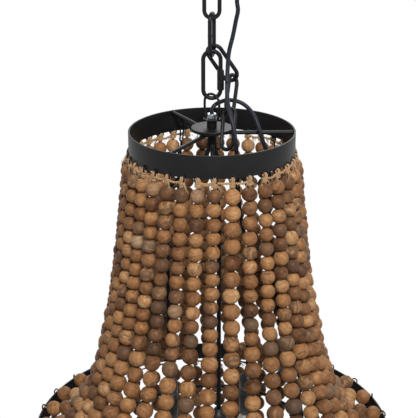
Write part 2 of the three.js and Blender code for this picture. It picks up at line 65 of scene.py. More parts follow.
def add_camera():
    data = bpy.data.cameras.new("view")
    data.sensor_fit = "HORIZONTAL"
    data.sensor_width = 36.0
    focal_px, centre_x, centre_y, wide, high = 1224.848, 211.9, 208.5, 416, 418
    data.lens = focal_px * data.sensor_width / wide
    data.shift_x = (wide / 2 - centre_x) / wide
    data.shift_y = (centre_y - high / 2) / wide
    data.clip_end = 60.0
    camera = bpy.data.objects.new("view", data)
    camera.location = (0.0, -1.4, RIM_Z + 0.426344)
    camera.rotation_euler = (math.radians(90 - 20.599), 0.0, 0.0)
    bpy.context.scene.collection.objects.link(camera)
    bpy.context.scene.camera = camera


add_camera()


# Finishes

class Value:
    """A socket that takes part in sums; each sum becomes a Math node."""

    def __init__(self, finish, socket):
        self.finish, self.socket = finish, socket

    def __add__(self, other):
        return self.finish.maths("ADD", self, other)

    __radd__ = __add__

    def __sub__(self, other):
        return self.finish.maths("SUBTRACT", self, other)

    def __rsub__(self, other):
        return self.finish.maths("SUBTRACT", other, self)

    def __mul__(self, other):
        return self.finish.maths("MULTIPLY", self, other)

    __rmul__ = __mul__


class Finish:
    """A material, or the world, made of nodes."""

    def __init__(self, name, world=False):
        self.owner = (bpy.data.worlds if world else bpy.data.materials).new(name)
        self.owner.use_nodes = True
        self.tree = self.owner.node_tree
        self.tree.nodes.clear()

    def node(self, kind, settings=None, out=0, **values):
        made = self.tree.nodes.new("ShaderNode" + kind)
        for key, setting in (settings or {}).items():
            if key == "stops":
                ramp = made.color_ramp
                while len(ramp.elements) < len(setting):
                    ramp.elements.new(0.5)
                for element, (place, colour) in zip(ramp.elements, setting):
                    element.position = place
                    element.color = (*colour, 1.0)
            else:
                setattr(made, key, setting)
        for key, value in values.items():
            self.feed(made.inputs[key.replace("_", " ")], value)
        return made if out is None else Value(self, made.outputs[out])

    def feed(self, socket, value):
        if isinstance(value, Value):
            self.tree.links.new(value.socket, socket)
        elif isinstance(value, tuple) and len(socket.default_value) == 4:
            socket.default_value = (*value, 1.0)[:4]
        else:
            socket.default_value = value

    def maths(self, operation, *values, clamp=False):
        made = self.tree.nodes.new("ShaderNodeMath")
        made.operation, made.use_clamp = operation, clamp
        for socket, value in zip(made.inputs, values):
            self.feed(socket, value)
        return Value(self, made.outputs[0])

    def step(self, value, low, high):
        """0 below low and 1 above high, smoothly between."""
        return self.node("MapRange", {"interpolation_type": "SMOOTHSTEP"}, Value=value,
                         From_Min=low, From_Max=high)

    def mix(self, share, first, second):
        made = self.tree.nodes.new("ShaderNodeMix")
        made.data_type = "RGBA"
        self.feed(made.inputs[0], share)
        self.feed(made.inputs[6], first)
        self.feed(made.inputs[7], second)
        return Value(self, made.outputs[2])

    def stretched(self, place, scale):
        return self.node("Mapping", Vector=place, Scale=scale)

    def noise(self, place, scale, detail=2.0, rough=0.5, warp=0.0):
        return self.node("TexNoise", Vector=place, Scale=scale, Detail=detail, Roughness=rough,
                         Distortion=warp)

    def bump(self, height, distance, strength=1.0):
        return self.node("Bump", Height=height, Distance=distance, Strength=strength)

    def surface(self, base, roughness, normal=None, **constants):
        if normal:
            constants["Normal"] = normal
        shader = self.node("BsdfPrincipled", Base_Color=base, Roughness=roughness, **constants)
        self.node("OutputMaterial", Surface=shader, out=None)
        return self.owner


def begin(name):
    finish = Finish(name)
    return finish, finish.node("TexCoord", out="Object")


def powder_coat(name, dark, light, rough_low, rough_high, grain, uneven):
    """Satin black coat: faint orange peel, a little dust in the hollows of the light."""
    finish, place = begin(name)
    cloud = finish.noise(place, 22.0, 4.0, 0.6)
    peel = finish.noise(place, grain, 2.0, 0.55)
    speck = finish.noise(place, 900.0, 2.0)
    base = finish.mix(finish.step(cloud, 0.3, 0.75), dark, light)
    rough = cloud * (rough_high - rough_low) + rough_low + (speck - 0.5) * uneven
    return finish.surface(base, rough, finish.bump(peel, 0.00002, uneven * 3), Specular_IOR_Level=0.17)


def zinc_plate():
    finish, place = begin("zinc_plate")
    cloud = finish.noise(place, 180.0, 3.0, 0.6)
    scratch = finish.noise(finish.stretched(place, (400.0, 400.0, 4000.0)), 1.0, 2.0)
    base = finish.mix(cloud, (0.40, 0.44, 0.52), (0.66, 0.68, 0.72))
    return finish.surface(base, 0.24 + cloud * 0.2, finish.bump(scratch, 0.00003, 0.4), Metallic=1.0)


def lead_sheath():
    finish, place = begin("lead_sheath")
    cloud = finish.noise(place, 60.0, 3.0, 0.6)
    fine = finish.noise(place, 1800.0, 2.0)
    base = finish.mix(cloud, (0.0065, 0.0078, 0.0135), (0.013, 0.0155, 0.025))
    return finish.surface(base, 0.38 + cloud * 0.14, finish.bump(fine, 0.000004, 0.15),
                          Specular_IOR_Level=0.2)


def moulded_black():
    finish, place = begin("moulded_black")
    cloud = finish.noise(place, 90.0, 3.0, 0.6)
    fine = finish.noise(place, 2400.0, 2.0)
    base = finish.mix(cloud, (0.008, 0.008, 0.009), (0.017, 0.017, 0.018))
    return finish.surface(base, 0.30 + cloud * 0.16, finish.bump(fine, 0.000006, 0.3))


def opal_glass():
    finish, place = begin("opal_glass")
    cloud = finish.noise(place, 55.0, 2.0)
    base = finish.mix(cloud, (0.86, 0.83, 0.76), (0.93, 0.91, 0.86))
    return finish.surface(base, 0.13 + cloud * 0.08, Subsurface_Weight=0.3,
                          Subsurface_Radius=(0.01, 0.009, 0.007), Subsurface_Scale=0.4, Coat_Weight=0.4)


def brass_cap():
    finish, place = begin("brass_cap")
    cloud = finish.noise(place, 300.0, 3.0, 0.65)
    base = finish.mix(cloud, (0.47, 0.33, 0.14), (0.78, 0.60, 0.32))
    return finish.surface(base, 0.22 + cloud * 0.26, Metallic=1.0)


def bead_wood():
    """Turned, oiled hardwood: every bead its own brown, cloudy, with rings, pores and dark streaks."""
    finish = Finish("bead_wood")
    place = finish.node("Attribute", {"attribute_name": "grain_place"}, out="Vector")
    tone, streak, ash = (finish.node("Attribute", {"attribute_name": "bead_" + key}, out="Fac")
                         for key in ("tone", "streak", "ash"))
    along = finish.stretched(place, (1.0, 1.0, 0.34))
    cloud = finish.noise(place, 66.0, 2.0, 0.5, 0.8)
    marble = finish.noise(along, 110.0, 2.5, 0.5, 1.8)
    rings = finish.node("TexWave", {"wave_type": "BANDS", "bands_direction": "X"}, Vector=along, out="Fac",
                        Scale=50.0, Distortion=10.0, Detail=2.0, Detail_Scale=1.2, Detail_Roughness=0.5)
    fibres = finish.noise(finish.stretched(place, (1.0, 1.0, 0.09)), 1100.0, 3.0, 0.6)
    pores = finish.noise(finish.stretched(place, (1.0, 1.0, 0.25)), 1900.0, 1.0)
    body = finish.node("ValToRGB", {"stops": (
        (0.0, (0.048, 0.019, 0.008)), (0.16, (0.100, 0.040, 0.016)), (0.34, (0.196, 0.083, 0.030)),
        (0.56, (0.312, 0.142, 0.052)), (0.78, (0.430, 0.219, 0.090)), (1.0, (0.58, 0.35, 0.168)))},
        Fac=tone + (cloud - 0.5) * 0.80 + (marble - 0.5) * 0.60)
    ashen = finish.mix(ash, body, finish.node("ValToRGB", {"stops": (
        (0.0, (0.085, 0.056, 0.038)), (0.5, (0.195, 0.136, 0.090)), (1.0, (0.38, 0.285, 0.195)))},
        Fac=tone * 0.6 + (marble - 0.5) * 0.8 + 0.1))
    ringed = finish.mix(finish.step(rings, 0.50, 1.0) * 0.34, ashen, (0.15, 0.064, 0.028))
    fibred = finish.mix(finish.step(fibres, 0.45, 0.8) * 0.14, ringed, (0.52, 0.29, 0.13))
    dark = finish.step(marble + streak * 0.26, 0.58, 0.74) * 0.78
    streaked = finish.mix(dark, fibred, (0.085, 0.048, 0.030))
    pored = finish.mix(finish.step(pores, 0.60, 0.74) * 0.20, streaked, (0.10, 0.05, 0.026))
    height = fibres * 0.5 + rings * 0.3 - finish.step(pores, 0.60, 0.74) * 0.5
    return finish.surface(pored, 0.34 + fibres * 0.14 + marble * 0.08, finish.bump(height, 0.00005, 0.25),
                          Specular_IOR_Level=0.13)


def jute(name, pale, deep):
    finish, place = begin(name)
    cloud = finish.noise(place, 120.0, 3.0, 0.6)
    fibres = finish.noise(finish.stretched(place, (1.0, 1.0, 0.35)), 3200.0, 2.0, 0.6)
    base = finish.mix(cloud, deep, pale)
    base = finish.mix(finish.step(fibres, 0.3, 0.8) * 0.45, base, (0.60, 0.39, 0.21))
    base = finish.mix(finish.step(fibres, 0.52, 0.3) * 0.4, base, (0.22, 0.12, 0.05))
    return finish.surface(base, 0.85, finish.bump(fibres, 0.0002, 0.8), Specular_IOR_Level=0.2,
                          Sheen_Weight=0.3, Sheen_Roughness=0.5)


BLACK = powder_coat("black_coat", (0.0062, 0.0064, 0.0070), (0.0106, 0.0108, 0.0117),
                    rough_low=0.36, rough_high=0.52, grain=420.0, uneven=0.08)
LINK_BLACK = powder_coat("black_chain_coat", (0.0052, 0.0056, 0.0072), (0.0105, 0.011, 0.013),
                         rough_low=0.34, rough_high=0.44, grain=260.0, uneven=0.02)
ZINC = zinc_plate()
LEAD = lead_sheath()
PLASTIC = moulded_black()
OPAL = opal_glass()
BRASS = brass_cap()
WOOD = bead_wood()
JUTE = jute("jute_twine", (0.47, 0.285, 0.14), (0.30, 0.165, 0.07))


# Meshes

def around(count):
    """Angles evenly all the way round."""
    return [2 * math.pi * k / count for k in range(count)]


def mesh_piece(name, rows, faces, finish, slot, body="shade", node=(), attributes=None, smooth=True):
    """A piece from vertex places and faces, given its finish and the body it rides on. The slot is not used.
    """
    data = bpy.data.meshes.new(name)
    data.from_pydata([tuple(v) for v in rows], [], faces)
    data.validate(verbose=False)
    data.polygons.foreach_set("use_smooth", [smooth] * len(data.polygons))
    for key, (kind, values) in (attributes or {}).items():
        made = data.attributes.new(key, kind, "POINT")
        made.data.foreach_set("vector" if kind == "FLOAT_VECTOR" else "value",
                              np.asarray(values, np.float32).ravel())
    data.materials.append(finish)
    data.update()
    made = bpy.data.objects.new(name, data)
    bpy.context.scene.collection.objects.link(made)
    if body:
        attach(made, body)
    if node:
        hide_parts(*([node] if isinstance(node, str) else node))
    return made


class Shape:
    """Vertices and faces that grow piece by piece."""

    def __init__(self):
        self.rows, self.faces = [], []

    def add(self, rows, faces, move=None):
        base = len(self.rows)
        self.rows.extend(Vector(v) if move is None else move @ Vector(v) for v in rows)
        self.faces.extend(tuple(base + i for i in face) for face in faces)
        return self

    def piece(self, name, finish, slot, **more):
        return mesh_piece(name, self.rows, self.faces, finish, slot, **more)

    def black(self, name, node=(), finish=BLACK, **more):
        return self.piece(name, finish, "black_metal", node=node, **more)


def grid_faces(count, sides, closed):
    faces = []
    for i in range(count if closed else count - 1):
        j = (i + 1) % count
        for k in range(sides):
            m = (k + 1) % sides
            faces.append((i * sides + k, i * sides + m, j * sides + m, j * sides + k))
    if not closed:
        faces.append(tuple(range(sides - 1, -1, -1)))
        faces.append(tuple((count - 1) * sides + k for k in range(sides)))
    return faces


def tube(points, radii, sides=12, closed=False, across=None):
    """A round section carried along points."""
    points = [Vector(p) for p in points]
    n = len(points)
    if not hasattr(radii, "__len__"):
        radii = [radii] * n
    tangents = []
    for i in range(n):
        before = points[i - 1] if i or closed else points[0]
        after = points[(i + 1) % n] if closed or i < n - 1 else points[i]
        tangents.append((after - before).normalized())
    side = Vector(across or ((1, 0, 0) if abs(tangents[0].z) > 0.9 else (0, 0, 1)))
    rows = []
    for p, t, r in zip(points, tangents, radii):
        side = (side - t * side.dot(t)).normalized()
        other = t.cross(side)
        rows += [p + side * (r * math.cos(a)) + other * (r * math.sin(a)) for a in around(sides)]
    return rows, grid_faces(n, sides, closed)


def lathe(profile, sides=48):
    """A profile of (radius, z) turned about Z. It closes on itself unless it meets the axis at both ends."""
    on_axis = profile[0][0] < 1e-9 and profile[-1][0] < 1e-9
    rows, faces, rings = [], [], []
    for r, z in profile:
        if r < 1e-9:
            rings.append([len(rows)])
            rows.append((0.0, 0.0, z))
        else:
            rings.append(list(range(len(rows), len(rows) + sides)))
            rows += [(r * math.cos(a), r * math.sin(a), z) for a in around(sides)]
    pairs = list(zip(rings, rings[1:]))
    if not on_axis:
        pairs.append((rings[-1], rings[0]))
    for low, high in pairs:
        for k in range(sides):
            m = (k + 1) % sides
            if len(low) == 1:
                faces.append((low[0], high[m], high[k]))
            elif len(high) == 1:
                faces.append((low[k], low[m], high[0]))
            else:
                faces.append((low[k], low[m], high[m], high[k]))
    return rows, faces


def rounded(profile, radius, steps=3, closed=True):
    """The profile with its corners rounded, so that edges catch the light."""
    out, n = [], len(profile)
    for i, corner in enumerate(profile):
        here = Vector(corner)
        if not closed and i in (0, n - 1):
            out.append(tuple(here))
            continue
        before, after = Vector(profile[i - 1]) - here, Vector(profile[(i + 1) % n]) - here
        reach = min(radius, before.length * 0.45, after.length * 0.45)
        a, b = here + before.normalized() * reach, here + after.normalized() * reach
        for k in range(steps + 1):
            t = k / steps
            out.append(tuple(a * (1 - t) ** 2 + here * 2 * t * (1 - t) + b * t * t))
    return out


def walls(inner, outer, low, high):
    return [(inner, low), (outer, low), (outer, high), (inner, high)]


def hexagon_nut(levels, half_flats, bore, height, sides):
    """A bored nut. A level is a height, the hexagon's share there and the radius that rounds its corners."""
    rows = []
    for z, share, cap in levels:
        for a in around(sides):
            r = half_flats / math.cos((a + math.pi / 6) % (math.pi / 3) - math.pi / 6)
            r = min(r * share, cap)
            rows.append((r * math.cos(a), r * math.sin(a), z))
    for z in (height, 0.0):
        rows += [(bore * math.cos(a), bore * math.sin(a), z) for a in around(sides)]
    return rows, grid_faces(6, sides, True)


def shift(x, y, z):
    return Matrix.Translation((x, y, z))


def polar(r, azimuth, z=0.0):
    a = math.radians(azimuth)
    return Vector((r * math.cos(a), r * math.sin(a), z))


def spline(points, step):
    """Points a step apart on a smooth curve through the given ones (centripetal)."""
    pts = [Vector(p) for p in points]
    first, last = pts[0] * 2 - pts[1], pts[-1] * 2 - pts[-2]
    pts = [first, *pts, last]
    dense = []
    for i in range(1, len(pts) - 2):
        p0, p1, p2, p3 = pts[i - 1:i + 3]
        t1 = max((p1 - p0).length, 1e-9) ** 0.5
        t2 = t1 + max((p2 - p1).length, 1e-9) ** 0.5
        t3 = t2 + max((p3 - p2).length, 1e-9) ** 0.5
        for k in range(24):
            t = t1 + (t2 - t1) * k / 24
            a1 = p0 * ((t1 - t) / t1) + p1 * (t / t1)
            a2 = p1 * ((t2 - t) / (t2 - t1)) + p2 * ((t - t1) / (t2 - t1))
            a3 = p2 * ((t3 - t) / (t3 - t2)) + p3 * ((t - t2) / (t3 - t2))
            b1 = a1 * ((t2 - t) / t2) + a2 * (t / t2)
            b2 = a2 * ((t3 - t) / (t3 - t1)) + a3 * ((t - t1) / (t3 - t1))
            dense.append(b1 * ((t2 - t) / (t2 - t1)) + b2 * ((t - t1) / (t2 - t1)))
    dense.append(pts[-2])
    lengths = [0.0]
    for a, b in zip(dense, dense[1:]):
        lengths.append(lengths[-1] + (b - a).length)
    count = max(2, round(lengths[-1] / step))
    out, i = [], 0
    for k in range(count + 1):
        wanted = lengths[-1] * k / count
        while i < len(lengths) - 2 and lengths[i + 1] < wanted:
            i += 1
        share = (wanted - lengths[i]) / max(lengths[i + 1] - lengths[i], 1e-12)
        out.append(dense[i].lerp(dense[i + 1], min(1.0, share)))
    return out


# The lead: down beside the chain, once round inside the shade, and back into the nut. It is made in four
# stretches, cut at three heights along the chain.

CORD_D = 5 * MM
CORD_POINTS = [
    (33, -10, -30.6), (33, -10, -41), (33, -10, -50.5), (31.3, -10, -63), (28.6, -10, -76.3),
    (29.8, -10, -87.8), (27.6, -10, -99.3), (24.3, -11, -116.5), (19.7, -13, -136),
    (18.1, -17, -156.3), (17.5, -24, -172.3), (18, -34, -187.4), (20.2, -44, -198.9),
    (24.2, -52, -212.1), (26.5, -56, -225.2), (28.3, -57, -240.5), (29.7, -54, -265.8),
    (30.6, -49, -292.3), (33, -44, -318), (37, -38, -344), (43, -31, -365),
    (51, -24, -376.5), (59.5, -17, -377), (65.5, -12.5, -367), (68.5, -10.5, -351),
    (69.5, -10, -329), (69, -9.5, -300.1), (67, -9.5, -266), (60.5, -9, -244),
    (55.5, -6, -229), (52, -1.5, -220), (47.7, 3.5, -213), (41.8, 8.5, -207.2),
    (34.7, 11.6, -203), (27, 12, -200.5), (17, 9.8, -199.4), (9.6, 6.3, -200.8),
    (4.6, 3.1, -202.6), (1.3, 0.9, -205.6), (0, 0, -210), (0, 0, -216.4),
]


def add_lead_grip():
    """The screw-in gland on the canopy, with the ribbed sleeve that keeps the lead from kinking."""
    low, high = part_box("canopy_cord_grip")
    middle, outer, bore = (low + high) / 2, (high.x - low.x) / 2, CORD_D / 2 + 0.15 * MM
    seat_z, collar, tip = -26.3 * MM, 4 * MM, 3.8 * MM
    sleeve, grooves = [(bore, low.z), (tip, low.z)], 5
    run = seat_z - collar - low.z
    for k in range(grooves):
        for share, dip in ((0.12, 0.0), (0.4, 0.0), (0.5, 0.55), (0.9, 0.55), (1.0, 0.0)):
            t = (k + share) / grooves
            sleeve.append((tip + (outer * 0.86 - tip) * t - dip * MM, low.z + run * t))
    sleeve += [(outer, seat_z - collar), (outer, seat_z), (4 * MM, seat_z), (4 * MM, high.z), (bore, high.z)]
    return Shape().add(*lathe(rounded(sleeve, 0.3 * MM), 32), move=shift(middle.x, middle.y, 0)).piece(
        "lead_grip", PLASTIC, "black_plastic", body="ceiling_mount", node="canopy_cord_grip")


def add_lead(grip):
    line = spline([Vector(p) * MM for p in CORD_POINTS], 2.2 * MM)
    cuts = [-0.0765, -0.1205, -0.1684]          # where one stretch ends and the next starts
    joints = [("ceiling_mount", "upper_link", -0.042, -0.070), ("upper_link", "lower_link", -0.082, -0.116),
              ("lower_link", "quick_link", -0.126, -0.160), ("quick_link", "shade", -0.172, -0.212)]
    sides = 14
    rows = tube(line, CORD_D / 2, sides)[0]
    ends = [next(i for i, p in enumerate(line) if p.z < z) for z in cuts] + [len(line) - 1]
    for k, (start, end, (above, below, high, low)) in enumerate(zip([0, *ends], ends, joints)):
        part = line[start:end + 1]
        made = mesh_piece("lead_" + "abcd"[k], rows[start * sides:(end + 1) * sides],
                          grid_faces(len(part), sides, False), LEAD, "lead", body=None, node="power_cord")
        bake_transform(made)
        length = sum((b - a).length for a, b in zip(part, part[1:]))
        [grip] if k == 0 else []


add_lead(add_lead_grip())


# Ceiling fitting

def add_ceiling_fitting():
    low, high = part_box("ceiling_canopy")
    r, h, wall, bevel = high.x, high.z - low.z, 1.6 * MM, 9 * MM
    z = -h
    outside = [(4.3 * MM, z)]
    inside = []
    for k in range(9):
        a = math.pi / 2 * k / 8
        outside.append((r - bevel + bevel * math.sin(a), z + bevel - bevel * math.cos(a)))
        inside.append((r - bevel + (bevel - wall) * math.sin(a), z + bevel - (bevel - wall) * math.cos(a)))
    lip = [(r, -0.4 * MM), (r - 0.4 * MM, 0.0), (r - wall, 0.0)]
    cup = Shape().add(*lathe([*outside, *lip, *reversed(inside), (4.3 * MM, z + wall)], 96))
    cup.black("ceiling_cup", "ceiling_canopy", body="ceiling_mount")
    for k in (1, 2):
        a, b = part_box("canopy_screw_%d" % k)
        middle, head, head_h, shank = (a + b) / 2, (b.x - a.x) / 2, 3 * MM, 2 * MM
        top = a.z + head_h
        dome = [(0.0, a.z + 0.9 * MM), (1.6 * MM, a.z + 0.5 * MM), (1.9 * MM, a.z)]
        dome += [(head * math.sin(a), top - head_h * math.cos(a))
                 for a in (0.65, 0.9, 1.15, 1.4, math.pi / 2)]
        screw = Shape().add(*lathe([*dome, (head, top), (shank, top), (shank, b.z), (0.0, b.z)], 24),
                            move=shift(middle.x, middle.y, 0))
        screw.black("cup_screw_%d" % k, "canopy_screw_%d" % k, body="ceiling_mount")
    low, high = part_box("canopy_eye")
    ring_z, ring_r, wire = low.z + 14.5 * MM, 12 * MM, 2.5 * MM
    ring = [(0.0, ring_r * math.cos(a), ring_z + ring_r * math.sin(a)) for a in around(48)]
    eye = Shape().add(*tube(ring, wire, 16, closed=True, across=(1, 0, 0)))
    eye.add(*lathe(rounded([(0.0, ring_z + ring_r), (4 * MM, ring_z + ring_r), (4 * MM, -24.1 * MM),
                            (7 * MM, -24.1 * MM), (7 * MM, -21.1 * MM), (4 * MM, -21.1 * MM),
                            (4 * MM, high.z), (0.0, high.z)], 0.7 * MM, closed=False), 32))
    eye.black("hook_eye", "canopy_eye", LINK_BLACK, body="ceiling_mount")


add_ceiling_fitting()


# Chain

LINK_WIRE, LINK_W, LINK_H = 4.8 * MM, 22.4 * MM, 54 * MM
LINK_TURN = 74                      # azimuth across the second link, a little off square to the first
PITCH = LINK_H - LINK_WIRE


def oval(half_w, half_h, steps=16):
    straight = half_h - half_w
    line = []
    for end in (-1, 1):
        for k in range(steps + 1):
            a = math.pi * k / steps
            line.append((-end * half_w * math.cos(a), end * (straight + half_w * math.sin(a))))
    return line


def link(top, down, across, wire=LINK_WIRE, w=LINK_W, h=LINK_H, sides=16):
    """A welded link that hangs from its top wire, with the weld's slight swelling on one leg."""
    down = Vector(down).normalized()
    across = Vector(across)
    across = (across - down * across.dot(down)).normalized()
    half_h, half_w = (h - wire) / 2, (w - wire) / 2
    middle = Vector(top) + down * half_h
    line = oval(half_w, half_h)
    points, radii = [], []
    for i, (l, s) in enumerate(line):
        points.append(middle + across * l + down * s)
        radii.append(wire / 2)
        if i + 1 < len(line) and abs(line[i + 1][1] - s) > half_w:
            for t in (0.1, 0.42, 0.46, 0.5, 0.54, 0.58, 0.9):
                l2, s2 = line[i + 1]
                points.append(middle + across * (l + (l2 - l) * t) + down * (s + (s2 - s) * t))
                radii.append(wire / 2 * (1.05 if t == 0.5 else 1.03 if 0.45 < t < 0.55 else 1.0))
    return tube(points, radii, sides, closed=True, across=down.cross(across))


def add_chain():
    top = Vector((0, 0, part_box("chain_link_1")[1].z - LINK_WIRE / 2))
    Shape().add(*link(top, (0, 0, -1), (1, 0, 0))).black(
        "main_link_1", "chain_link_1", LINK_BLACK, body="upper_link")
    a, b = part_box("chain_link_2")
    top = Vector((0, 0, b.z - LINK_WIRE / 2))
    Shape().add(*link(top, (0, 0, -1), polar(1, LINK_TURN))).black(
        "main_link_2", "chain_link_2", LINK_BLACK, body="lower_link")
    wire = Vector((0, 0, a.z + LINK_WIRE / 2))
    spare = (((-0.0301, 0.0752, 0.1953), (0.554, 0.0689, -0.8297), (0.8108, -0.2707, 0.5189)),
             ((0.0049, 0.0795, 0.0832), (-0.1226, -0.6442, -0.755), (0.5044, 0.6147, -0.6064)),
             ((0.0116, 0.0651, 0.0928), (-0.0651, -0.5222, -0.8503), (0.7666, -0.5717, 0.2924)))
    for k, (start, down, across) in enumerate(spare, 1):
        wire = wire + Vector(start) * PITCH
        Shape().add(*link(wire, down, across)).black(
            "surplus_link_%d" % k, "spare_link_%d" % k, LINK_BLACK, body="spare_%d" % k)
        wire = wire + Vector(down).normalized() * PITCH


add_chain()


def add_quick_link():
    a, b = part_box("quick_link_body")
    wire, outer_w, mouth_h = 5 * MM, 25.4 * MM, 8 * MM
    ridge_r = wire / 2 - 0.1 * MM
    half_w, half_h = (outer_w - wire) / 2, (b.z - a.z - (b.y - a.y)) / 2
    middle = (a.z + b.z) / 2
    low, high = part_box("quick_link_sleeve")
    mouth = low.z + 1 * MM
    line = [(half_w, mouth - middle), *oval(half_w, half_h), (half_w, mouth + mouth_h - middle)]
    body = Shape().add(*tube([(x, 0, middle + z) for x, z in line], wire / 2, 16, across=(0, 1, 0)))
    for k in range(4):                      # the thread that the sleeve leaves bare above it
        z = high.z + (0.5 + k * 0.45) * MM
        body.add(*tube([(half_w + ridge_r * math.cos(a), ridge_r * math.sin(a), z) for a in around(20)],
                       0.18 * MM, 6, closed=True, across=(0, 0, 1)))
    body.black("quick_link_wire", "quick_link_body", LINK_BLACK, body="quick_link")
    half_flats, bore, bevel, height = 4.1 * MM, 2.62 * MM, 0.9 * MM, high.z - low.z
    end, corner = (0.93, 4.0 * MM), (1, half_flats / math.cos(math.pi / 6) * 0.985)
    levels = ((0.0, *end), (bevel, *corner), (height - bevel, *corner), (height, *end))
    Shape().add(*hexagon_nut(levels, half_flats, bore, height, 24), move=shift(half_w, 0, low.z)).black(
        "quick_link_nut", "quick_link_sleeve", LINK_BLACK, body="link_sleeve", smooth=False)


add_quick_link()


# Hub

def add_hub():
    loop_wire, loop_w, washer_r, washer_t = 3.0 * MM, 24.8 * MM, 10.2 * MM, 1.2 * MM
    a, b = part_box("hanging_loop")
    top, washer_low = b.z - loop_wire / 2, a.z
    half, foot = (loop_w - loop_wire) / 2, washer_r - loop_wire / 2 - 0.3 * MM
    bend_z = top - half
    across = polar(1, -38)
    leg = [(foot + (half - foot) * math.sin(math.pi / 2 * min(1.0, t * 1.6)),
            washer_low + (bend_z - washer_low) * t) for t in (k / 10 for k in range(10))]
    line = [(-x, z) for x, z in leg]
    line += [(-half * math.cos(math.pi * k / 20), bend_z + half * math.sin(math.pi * k / 20))
             for k in range(21)]
    line += leg[::-1]
    loop = Shape().add(*tube([(across.x * l, across.y * l, z) for l, z in line], loop_wire / 2, 14,
                             across=polar(1, 52)))
    loop.add(*lathe(rounded(walls(3 * MM, washer_r, washer_low, washer_low + washer_t), 0.3 * MM), 40))
    loop.black("hub_loop", "hanging_loop")
    a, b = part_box("cord_nut")
    height, bevel, corner = b.z - a.z, 0.8 * MM, 5.75 * MM
    end = corner * 0.9
    levels = ((0.0, 1, end), (bevel, 1, corner), (height - bevel, 1, corner), (height, 1, end))
    Shape().add(*hexagon_nut(levels, 5 * MM, 2.75 * MM, height, 36), move=shift(0, 0, a.z)).piece(
        "lead_nut", ZINC, "zinc", node="cord_nut", smooth=False)
    a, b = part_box("hub_stem")
    disc_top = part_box("hub_disc")[1].z
    stem = [(3 * MM, a.z), (5.75 * MM, a.z), (5.75 * MM, RIM_Z - 0.3 * MM), (5 * MM, RIM_Z - 0.3 * MM),
            (5 * MM, disc_top + 0.3 * MM), (6 * MM, disc_top + 0.3 * MM), (6 * MM, b.z), (3 * MM, b.z)]
    Shape().add(*lathe(rounded(stem, 0.35 * MM), 40)).black("hub_pipe", "hub_stem")
    a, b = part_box("hub_disc")
    disc = walls(5.3 * MM, b.x, a.z, b.z)
    Shape().add(*lathe(rounded(disc, 0.8 * MM, 4), 96)).black("hub_plate", "hub_disc")


add_hub()


# Bands

def band(name, node, sides=144):
    a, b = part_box(node)
    Shape().add(*lathe(rounded(walls(b.x - BAND_WALL, b.x, a.z, b.z), 0.5 * MM), sides)).black(name, node)
    return a.z, b.z, b.x


UPPER_LOW, UPPER_TOP, UPPER_R = band("top_band", "upper_band")
LOWER_LOW, LOWER_TOP, LOWER_R = band("wide_band", "lower_band", 192)
BOTTOM_LOW, BOTTOM_TOP, BOTTOM_R = band("closing_band", "bottom_ring")


def eyelet_plate(w, h, t, hole, segments=32):
    """A lug: a small plate, round at its foot, with a hole near the foot. Its top is at z = 0."""
    rows = []
    centre = -(h - w / 2)
    for y in (-t / 2, t / 2):
        for a in around(segments):
            x, z = w / 2 * math.cos(a), w / 2 * math.sin(a)
            if z > 0:
                z = -centre * min(1.0, z / (w / 2) * 1.5)
                if abs(math.cos(a)) > 0.35:
                    x = math.copysign(w / 2, x)
            rows.append((x, y, centre + z))
    for y in (t / 2, -t / 2):
        rows += [(hole / 2 * math.cos(a), y, centre + hole / 2 * math.sin(a)) for a in around(segments)]
    return rows, grid_faces(4, segments, True)


